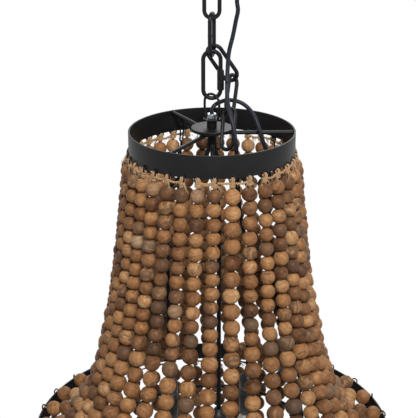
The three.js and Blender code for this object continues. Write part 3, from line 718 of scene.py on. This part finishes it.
def add_spokes_and_stays():
    spoke_r, lug_r, lug_w, lug_h, lug_t, hole = 2.5 * MM, 74 * MM, 6 * MM, 9 * MM, 2 * MM, 3.6 * MM
    stay_wire, stay_link_w, stay_link_h, seat = 1.8 * MM, 5.8 * MM, 25 * MM, 0.3 * MM
    arm_drop, arm_start, arm_end, ring_wire = 5 * MM, 123.2, 226.8, 5 * MM
    spoke_z = RIM_Z - seat - spoke_r
    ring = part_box("lamp_ring")
    ring_z, ring_r = (ring[0].z + ring[1].z) / 2, ring[1].x - ring_wire / 2
    for k, azimuth in enumerate((0, 120, 240), 1):
        turn = Matrix.Rotation(math.radians(azimuth), 4, "Z")
        swells = ((5.2, 3.4), (6.2, 3.0), (7.4, 2.6), (9.0, 2.5),      # welds at both ends
                  (93.5, 2.5), (95.6, 2.7), (97.0, 3.1), (98.2, 3.5))
        spoke = Shape().add(*tube([(x * MM, 0, spoke_z) for x, _ in swells], [r * MM for _, r in swells], 20),
                            move=turn)
        spoke.add(*eyelet_plate(lug_w, lug_h + spoke_r, lug_t, hole), move=turn @ shift(lug_r, 0, spoke_z))
        spoke.black("band_spoke_%d" % k, "upper_spoke_%d" % k)
        top = Vector((lug_r, 0, spoke_z - spoke_r - lug_h + hole - stay_wire / 2 + seat))
        foot = Vector((ring_r, 0, ring_z))
        down = (foot - top).normalized()
        stay = Shape().add(*link(top, down, (0, 1, 0), stay_wire, stay_link_w, stay_link_h, 10), move=turn)
        start, end = top + down * 23.0 * MM, foot - down * 2.7 * MM
        rod = ((start, 0, 1.6), (start, 0.4, 1.75), (start, 3, 1.3),
               (end, -3, 1.3), (end, -0.6, 1.7), (end, 0, 1.9))
        stay.add(*tube([p + down * s * MM for p, s, _ in rod], [r * MM for *_, r in rod], 14), move=turn)
        stay.black("long_stay_%d" % k, "stay_%d" % k)
    Shape().add(*tube([polar(ring_r, 3 * k, ring_z) for k in range(120)], ring_wire / 2, 16, closed=True,
                      across=(0, 0, 1))).black("inner_ring", "lamp_ring")
    for k, azimuth in enumerate((60, 180, 300), 1):
        swells = ((arm_start, 2.9), (124.2, 2.4), (125.6, 2.0), (222.0, 2.0), (225.4, 2.2), (arm_end, 2.9))
        line = [polar(r * MM, azimuth, ring_z - arm_drop * (r - arm_start) / (arm_end - arm_start))
                for r, _ in swells]
        Shape().add(*tube(line, [thick * MM for _, thick in swells], 16)).black(
            "ring_bar_%d" % k, "ring_arm_%d" % k)


add_spokes_and_stays()


# Lamps

def turned(profile, sides, move):
    """A lathe piece whose profile runs downwards, so its faces are turned over."""
    rows, faces = lathe(profile, sides)
    return Shape().add(rows, [face[::-1] for face in faces], move)


def add_lamps():
    shares = ((0, 0), (0, 0.08), (0.05, 0.2), (0.24, 0.38), (0.58, 0.57), (0.86, 0.74), (0.98, 0.9), (1, 1))
    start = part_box("hub_stem")[0].z - 0.3 * MM
    inside, outside, pipe_r, glass_r = 4.2 * MM, 60 * MM, 2.75 * MM, 17.5 * MM
    candle = ((0.40, 0), (0.44, 0.012), (0.50, 0.03), (0.62, 0.07), (0.78, 0.145), (0.92, 0.25),
              (0.985, 0.34), (1.0, 0.42), (0.975, 0.51), (0.90, 0.605), (0.78, 0.70), (0.62, 0.79),
              (0.46, 0.87), (0.31, 0.93), (0.17, 0.975), (0.08, 0.993), (0.0, 1.0))
    for k, azimuth in enumerate((278, 158, 38), 1):
        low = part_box("lamp_stem_%d" % k)[0].z
        route = [polar(inside + (outside - inside) * r, azimuth, start - 80 * MM * z) for r, z in shares]
        line = [*spline(route, 4 * MM), polar(outside, azimuth, low + 6 * MM), polar(outside, azimuth, low)]
        Shape().add(*tube(line, pipe_r, 16, across=polar(1, azimuth + 90))).black(
            "lamp_pipe_%d" % k, "lamp_stem_%d" % k)
        a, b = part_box("lamp_holder_%d" % k)
        move = shift(*polar(outside, azimuth))
        r = (b.x - a.x) / 2
        holder = [(0.0, b.z), (5.3 * MM, b.z), (5.5 * MM, b.z - 1.2 * MM), (7.6 * MM, b.z - 3.2 * MM),
                  (r - 0.8 * MM, b.z - 6.4 * MM), (r, b.z - 8.6 * MM)]
        holder += [(r - inset * MM, b.z - (groove + down) * MM) for groove in (24, 28.6)
                   for inset, down in ((0, 0), (0.7, 0.5), (0.7, 1.8), (0, 2.3))]
        holder += [(r, a.z + 0.8 * MM), (r - 0.6 * MM, a.z), (8.0 * MM, a.z), (7.4 * MM, a.z + 0.6 * MM),
                   (7.4 * MM, a.z + 23.6 * MM), (0.0, a.z + 23.8 * MM)]
        turned(holder, 48, move).piece(
            "candle_holder_%d" % k, PLASTIC, "black_plastic", node="lamp_holder_%d" % k)
        a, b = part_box("lamp_bulb_%d" % k)
        neck, top = b.z - 21 * MM, b.z
        glass_top = neck - 0.3 * MM
        glass = [(0.0, glass_top + 2 * MM), (6.0 * MM, glass_top + 2 * MM)]
        glass += [(glass_r * r, glass_top - (glass_top - a.z) * z) for r, z in candle]
        turned(glass, 48, move).piece(
            "bulb_glass_%d" % k, OPAL, "bulb_glass", body="bulb_%d" % k, node="lamp_bulb_%d" % k)
        cap = [(0.0, top), (2.4 * MM, top - 0.1 * MM), (3.2 * MM, top - 1.2 * MM), (3.4 * MM, top - 2.4 * MM)]
        cap += [((6.45 + 0.5 * math.cos(2 * math.pi * j / 6)) * MM, top - (3 + 13.5 * j / 36) * MM)
                for j in range(37)]                          # six turns of thread
        cap += [(6.6 * MM, neck + 2.5 * MM), (7.0 * MM, neck + 1.2 * MM), (7.0 * MM, neck - 0.2 * MM),
                (0.0, neck - 0.2 * MM)]
        turned(cap, 36, move).piece(
            "bulb_cap_%d" % k, BRASS, "bulb_cap", body="bulb_%d" % k)


add_lamps()


# Strings of beads

STRINGS, GROUP, FIRST_AZIMUTH, TURN = 32, 4, 271.6, -8.0
BACK_SHIFT, GATHER = 5.6, 3.5
SMALL, LARGE, SMALL_COUNT = 17.5 * MM, 20.1 * MM, 11
LARGE_ONLY = 1                      # the string that is made of large beads all the way down
BASKET_STRINGS, BASKET_FIRST, BASKET_TURN = 44, 268.2, -8.0
BASKET_LARGE_COUNT = 6
STRING_SLACK, BASKET_SLACK = 33.5 * MM, 18 * MM
KNOT_H, FOOT_H, LEAD_IN, LEAD_OUT = 4 * MM, 3 * MM, 8 * MM, 4 * MM
WALL_R = UPPER_R - BAND_WALL / 2
LOWER_WALL_R = LOWER_R - BAND_WALL / 2
BOTTOM_WALL_R = BOTTOM_R - BAND_WALL / 2


def azimuth_of(k):
    """The strings at the back stand a little further round, so that they show between the front ones."""
    around = 2 * math.pi * k / STRINGS
    return FIRST_AZIMUTH + math.degrees(around) + BACK_SHIFT * math.sin(around / 2)


def foot_of(k):
    return azimuth_of(k) + TURN - GATHER * math.sin(2 * math.pi * k / STRINGS)


def basket_of(k):
    return BASKET_FIRST + 360 * k / BASKET_STRINGS


def catenary(a, b, slack):
    run, drop = math.hypot(b.x - a.x, b.y - a.y), a.z - b.z
    length = math.hypot(run, drop) + slack
    wanted = math.sqrt(length * length - drop * drop) / run
    low, high = 0.0, 1.0
    while math.sinh(high) / high < wanted:
        high += high
    for _ in range(60):
        q = (low + high) / 2
        if math.sinh(q) / q < wanted:
            low = q
        else:
            high = q
    scale = run / (low + high)
    lowest = run / 2 + scale * math.atanh(drop / length)

    def point(s):
        x = lowest + scale * math.asinh(s / scale - math.sinh(lowest / scale))
        z = scale * (math.cosh((x - lowest) / scale) - math.cosh(lowest / scale))
        return Vector((a.x + (b.x - a.x) * x / run, a.y + (b.y - a.y) * x / run, a.z + z))

    return length, point


def bead_profile():
    """A turned bead of diameter 1 and height 1: nearly a ball, a little flat at both ends, with a bore."""
    rows, power = [], 2 / 2.03
    for k in range(11):
        t = 0.13 + (math.pi - 0.26) * k / 10
        z = math.cos(t)
        rows.append((0.5 * math.sin(t) ** power, -0.5 * math.copysign(abs(z) ** power, z)))
    rows.append((0.062, rows[-1][1] - 0.02))
    rows.insert(0, (0.062, rows[0][1] + 0.02))
    return rows


BEAD_SIDES = 20
BEAD_ROWS, BEAD_FACES = lathe(bead_profile(), BEAD_SIDES)
BEAD = np.array(BEAD_ROWS)
BEAD_FACES = np.array(BEAD_FACES)


class BeadBag:
    """The beads of one group of strings, threaded one by one."""

    def __init__(self):
        self.places, self.grain, self.tone, self.streak, self.ash = [], [], [], [], []

    def thread(self, centre, axis, diameter, height):
        draw = rng.random
        spin = Matrix.Rotation(draw() * 2 * math.pi, 3, "Z")
        tilt = Matrix.Rotation(math.radians(rng.gauss(0, 3.0)), 3, rng.choice("XY"))
        stand = axis.to_track_quat("Z", "Y").to_matrix()
        turn = np.array(stand @ tilt @ spin)
        uneven = 1 + np.array([rng.gauss(0, 0.012), rng.gauss(0, 0.012), 0.0])
        local = BEAD * np.array([diameter, diameter, height]) * uneven
        around = np.arctan2(local[:, 1], local[:, 0])
        local[:, :2] *= (1 + 0.012 * np.sin(2 * around + draw() * 6) + 0.007 * np.sin(
            3 * around + draw() * 6 + local[:, 2] * 200))[:, None]
        self.places.append(local @ turn.T + np.array(centre))
        about_x, about_y = (Matrix.Rotation(draw() * math.pi, 3, axis) for axis in "XY")
        self.grain.append(local @ np.array(about_x @ about_y).T + np.array([draw(), draw(), draw()]) * 3.0)
        tone = rng.betavariate(4.6, 3.4)
        if draw() < 0.08:
            tone = 0.12 + draw() * 0.18
        self.tone.append(np.full(len(BEAD), tone))
        self.streak.append(np.full(len(BEAD), draw() if draw() < 0.5 else 0.0))
        self.ash.append(np.full(len(BEAD), 0.45 + 0.4 * draw() if draw() < 0.08 else 0.14 * draw()))

    def piece(self, name, node):
        count = len(self.places)
        faces = (BEAD_FACES[None, :, :] + np.arange(count)[:, None, None] * len(BEAD)).reshape(-1, 4)
        return mesh_piece(name, np.concatenate(self.places).tolist(), faces.tolist(), WOOD, "wood_beads",
                          node=node, attributes={
                              "grain_place": ("FLOAT_VECTOR", np.concatenate(self.grain)),
                              "bead_tone": ("FLOAT", np.concatenate(self.tone)),
                              "bead_streak": ("FLOAT", np.concatenate(self.streak)),
                              "bead_ash": ("FLOAT", np.concatenate(self.ash))})


def plies(points, radius, pitch, start=0.0):
    """Twisted twine along points: two plies that wind round each other."""
    tangents = [(points[min(i + 1, len(points) - 1)] - points[max(i - 1, 0)]).normalized()
                for i in range(len(points))]
    side = Vector((1, 0, 0)) if abs(tangents[0].z) > 0.8 else Vector((0, 0, 1))
    frames = []
    for t in tangents:
        side = (side - t * side.dot(t)).normalized()
        frames.append((side.copy(), t.cross(side)))
    run = [0.0]
    for a, b in zip(points, points[1:]):
        run.append(run[-1] + (b - a).length)
    out = []
    for ply in range(2):
        line = []
        for p, (u, v), s in zip(points, frames, run):
            a = start + 2 * math.pi * (s / pitch + ply / 2)
            line.append(p + (u * math.cos(a) + v * math.sin(a)) * radius * 0.46)
        out.append(tube(line, radius * 0.6, 5))
    return out


def fibres(shape, start, toward, length, count, spread, thick=0.17 * MM):
    """A frayed end: thin fibres that start together and fan out."""
    for _ in range(count):
        aim = (toward + Vector([rng.gauss(0, spread) for _ in range(3)])).normalized()
        sag = Vector((rng.gauss(0, 0.3), rng.gauss(0, 0.3), -0.4 - 0.5 * rng.random()))
        reach = length * (0.5 + 0.6 * rng.random())
        line = [start + aim * reach * t + sag * reach * t * t * 0.8 for t in (0.0, 0.3, 0.6, 0.85, 1.0)]
        shape.add(*tube(line, [thick, thick, thick * 0.9, thick * 0.7, thick * 0.4], 4))


def tie(shape, hook, foot, out):
    """A knot of twine under a wire ring: the loop through the ring, its turns and its ends."""
    along = (foot - hook).normalized()
    side = along.cross(out).normalized()
    face = side.cross(along)
    span = (foot - hook).length
    for lean in (-1, 1):
        centre = hook + along * 0.9 * MM + side * 0.7 * lean * MM
        loop = [centre + face * 2.5 * MM * math.cos(a) + along * 4.1 * MM * math.sin(a)
                + side * (0.5 * math.sin(2 * a) + 0.35 * lean * math.cos(a)) * MM for a in around(14)]
        shape.add(*tube(loop, 0.98 * MM, 6, closed=True, across=side))
    for turn in range(4):
        middle = hook + along * (2.7 + 1.3 * turn) * MM
        lean_a, lean_b = rng.gauss(0, 0.6), rng.gauss(0, 0.6)
        radius = (2.1 + rng.random() * 0.9) * MM
        ring = [middle + side * radius * math.cos(a) + face * radius * 0.85 * math.sin(a)
                + along * (lean_a * math.cos(a) + lean_b * math.sin(a)) * MM for a in around(12)]
        shape.add(*tube(ring, (0.95 + 0.35 * rng.random()) * MM, 6, closed=True, across=along))
    for turn in range(3):                       # the knot's bulk is on the inner side
        middle = hook + along * (0.6 + 2.2 * turn) * MM - out * (1.8 + 0.5 * rng.random()) * MM
        slant = side * math.cos(turn * 1.1) + along * math.sin(turn * 1.1)
        rise = slant.cross(out)
        ring = [middle + (slant * 2.7 * math.cos(a) + rise * 1.9 * math.sin(a)
                          + out * 0.7 * math.sin(2 * a)) * MM for a in around(12)]
        shape.add(*tube(ring, 1.15 * MM, 6, closed=True, across=out))
    for ply in plies([hook + along * span * t for t in (0.2, 0.35, 0.5, 0.62, 0.74, 0.86, 1.0, 1.2)],
                     1.9 * MM, 6.5 * MM, start=rng.random() * 6):
        shape.add(*ply)
    for _ in range(rng.choice((1, 2, 2, 3))):
        aim = (side * rng.choice((-1, 1)) * (0.5 + rng.random()) + face * (0.3 + 0.6 * rng.random())
               + Vector((0, 0, 0.2 - 0.7 * rng.random()))).normalized()
        start = hook + along * (2.5 + 2.5 * rng.random()) * MM
        reach = (3.0 + 4.5 * rng.random()) * MM
        end = start + aim * reach + Vector((0, 0, -reach * 0.35))
        shape.add(*tube([start, start + aim * reach * 0.5, end], [1.0 * MM, 0.9 * MM, 0.65 * MM], 6))
        fibres(shape, end - aim * 0.6 * MM, (aim + Vector((0, 0, -0.7))).normalized(), 6.5 * MM, 8, 0.3)
    fibres(shape, hook + along * 3.5 * MM, (face + Vector((0, 0, -0.3))).normalized(), 4.5 * MM, 9, 0.9,
           0.14 * MM)


def wire_ring(shape, centre, out, radius=4.2 * MM, wire=0.9 * MM):
    """A split ring through the band's edge. It stands askew, mostly facing outwards."""
    turn = math.radians(rng.gauss(28, 9)) * rng.choice((1, 1, 1, -1))
    up = Vector((0, 0, 1))
    side = up.cross(out).normalized()
    across = side * math.cos(turn) + out * math.sin(turn)
    lean = up + out * rng.gauss(0.0, 0.12)
    line = [centre + across * radius * math.cos(a) + lean * radius * math.sin(a) for a in around(20)]
    shape.add(*tube(line, wire, 8, closed=True, across=lean.cross(across)))


def slung(shape, a, b, sag):
    """A stretch of twine that hangs between two knots."""
    middle = (a + b) / 2
    out = Vector((middle.x, middle.y, 0)).normalized()
    ends = (b - a).length
    line = [a.lerp(b, t) - Vector((0, 0, 4 * sag * t * (1 - t))) + out * ends * 0.05 * math.sin(math.pi * t)
            for t in (k / 12 for k in range(13))]
    for ply in plies(line, 1.65 * MM, 6 * MM, start=rng.random() * 6):
        shape.add(*ply)
    for _ in range(4):
        t = 0.15 + 0.7 * rng.random()
        spot = a.lerp(b, t) - Vector((0, 0, 4 * sag * t * (1 - t)))
        fibres(shape, spot, (out + Vector((0, 0, -0.8))).normalized(), 4.5 * MM, 3, 0.8, 0.13 * MM)


def one_string(bag, twine, rings, top, foot, slack, first, first_d, rest_d, spread=0.022):
    """Beads from one knot to the next: `top` and `foot` are (azimuth, radius, edge z)."""
    (top_az, top_r, top_z), (foot_az, foot_r, foot_z) = top, foot
    a = polar(top_r if foot_r < top_r else top_r + 1 * MM, top_az, top_z - KNOT_H)
    b = polar(foot_r, foot_az, foot_z + FOOT_H)
    length, point = catenary(a, b, slack)
    room = length - LEAD_IN - LEAD_OUT
    rest = max(1, round((room / 0.97 - first * first_d) / rest_d))
    sizes = [first_d] * first + [rest_d] * rest
    sizes = [d * (1 + rng.gauss(0, spread)) for d in sizes]
    stretch = room / sum(sizes)
    s = LEAD_IN
    for d in sizes:
        low, high = point(s), point(s + d * stretch)
        sway = Vector((rng.gauss(0, 0.35), rng.gauss(0, 0.35), 0)) * MM
        bag.thread((low + high) / 2 + sway, (low - high).normalized(), d * 1.005, d * stretch * 1.012)
        s += d * stretch
    twine.add(*tube([point(LEAD_IN + room * k / 30) for k in range(31)], 0.9 * MM, 5))
    out = polar(1, top_az)
    ring_r = top_r + 0.9 * MM
    wire_ring(rings, polar(ring_r, top_az, top_z - 0.6 * MM), out)
    hook = polar(ring_r + 0.4 * MM, top_az, top_z - 2.4 * MM)
    tie(twine, hook, point(LEAD_IN + 1 * MM), out)
    out = polar(1, foot_az)
    wire_ring(rings, polar(foot_r + 0.2 * MM, foot_az, foot_z + 1.0 * MM), out, 3.4 * MM)
    end = point(length - LEAD_OUT - 1 * MM)
    stop = polar(foot_r, foot_az, foot_z + 1.5 * MM)
    for ply in plies([end.lerp(stop, t) for t in (0, 0.25, 0.5, 0.75, 1)], 1.1 * MM, 5 * MM):
        twine.add(*ply)
    return hook


def shade_string(k, *strung):
    first = 0 if k == LARGE_ONLY else SMALL_COUNT + rng.choice((-1, 0, 0, 1))
    return one_string(*strung, (azimuth_of(k), WALL_R, UPPER_LOW), (foot_of(k), LOWER_WALL_R, LOWER_TOP),
                      STRING_SLACK, first, SMALL, LARGE)


def basket_string(k, *strung):
    top = basket_of(k)
    return one_string(*strung, (top, LOWER_WALL_R, LOWER_LOW), (top + BASKET_TURN, BOTTOM_WALL_R, BOTTOM_TOP),
                      BASKET_SLACK, BASKET_LARGE_COUNT, LARGE, SMALL)


def tie_neighbours(groups, hooks, share):
    """Stretches of twine from knot to knot, a second one beside some of them."""
    for k, hook in enumerate(hooks):
        for chance in (share, share - 0.55):
            if rng.random() < chance:
                lift_a, lift_b = (Vector((0, 0, -(0.2 + 2.6 * rng.random()) * MM)) for _ in range(2))
                slung(groups[k // GROUP][1], hook + lift_a, hooks[(k + 1) % len(hooks)] + lift_b,
                      (0.6 + 3.2 * rng.random()) * MM)


def add_strings(name, node, count, string, share):
    groups, hooks, rings = [], [], Shape()
    for g in range(count // GROUP):
        groups.append((BeadBag(), Shape()))
        hooks += [string(k, *groups[g], rings) for k in range(g * GROUP, (g + 1) * GROUP)]
    tie_neighbours(groups, hooks, share)
    for g, (bag, twine) in enumerate(groups, 1):
        bag.piece("%s_beads_%d" % (name, g), "%s_%d" % (node, g))
        twine.piece("%s_twine_%d" % (name, g), JUTE, "twine", node="%s_%d" % (node, g))
    rings.black("%s_wire_rings" % name, finish=LINK_BLACK)


add_strings("shade", "upper_strands", STRINGS, shade_string, 0.82)
add_strings("basket", "lower_strands", BASKET_STRINGS, basket_string, 0.75)

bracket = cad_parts["ceiling_bracket"]
bracket.data.materials.clear()
bracket.data.materials.append(ZINC)


# Studio: a pale floor far below, a white surround and soft lamps

def white_where_seen(finish, lit, strength, out_kind):
    """The given surface lights the object, and the eye, reflections and clear panes see white instead."""
    path = finish.node("LightPath", out=None)
    seen = Value(finish, path.outputs["Is Camera Ray"])
    for key in ("Is Glossy Ray", "Is Transmission Ray"):
        seen = finish.maths("ADD", seen, Value(finish, path.outputs[key]), clamp=True)
    white = finish.node("Emission" if out_kind == "OutputMaterial" else "Background", Color=(1, 1, 1))
    blend = finish.tree.nodes.new("ShaderNodeMixShader")
    for socket, value in zip(blend.inputs, (seen * strength, lit, white)):
        finish.feed(socket, value)
    finish.node(out_kind, out=None, Surface=Value(finish, blend.outputs[0]))
    return finish.owner


def add_studio():
    floor_z, reach, corners = -2.2, 2.3, ((-1, -1), (1, -1), (1, 1), (-1, 1))
    data = bpy.data.meshes.new("floor")
    data.from_pydata([(x * reach, y * reach, floor_z) for x, y in corners], [], [(0, 1, 2, 3)])
    floor = bpy.data.objects.new("floor", data)
    bpy.context.scene.collection.objects.link(floor)
    pale = Finish("pale_floor")
    data.materials.append(white_where_seen(
        pale, pale.node("BsdfDiffuse", Color=(0.9, 0.9, 0.9)), 0.96, "OutputMaterial"))
    surround = Finish("surround", world=True)
    bpy.context.scene.world = white_where_seen(
        surround, surround.node("Background", Color=(1.0, 0.985, 0.97), Strength=0.13), 1.0, "OutputWorld")
    middle = Vector((0, 0, -0.45))
    for name, place, size, power in (("key", (0.3, -2.2, 1.75), 1.0, 98.0),
                                     ("fill", (1.6, -2.0, 0.6), 1.5, 9.0),
                                     ("rear", (0.6, 2.6, 1.6), 2.0, 44.0)):
        data = bpy.data.lights.new(name, "AREA")
        data.shape = "DISK"
        data.size, data.energy = size, power
        lamp = bpy.data.objects.new(name, data)
        lamp.location = place
        lamp.rotation_euler = (middle - Vector(place)).to_track_quat("-Z", "Y").to_euler()
        bpy.context.scene.collection.objects.link(lamp)
    bpy.context.scene.view_settings.view_transform = "Standard"


add_studio()
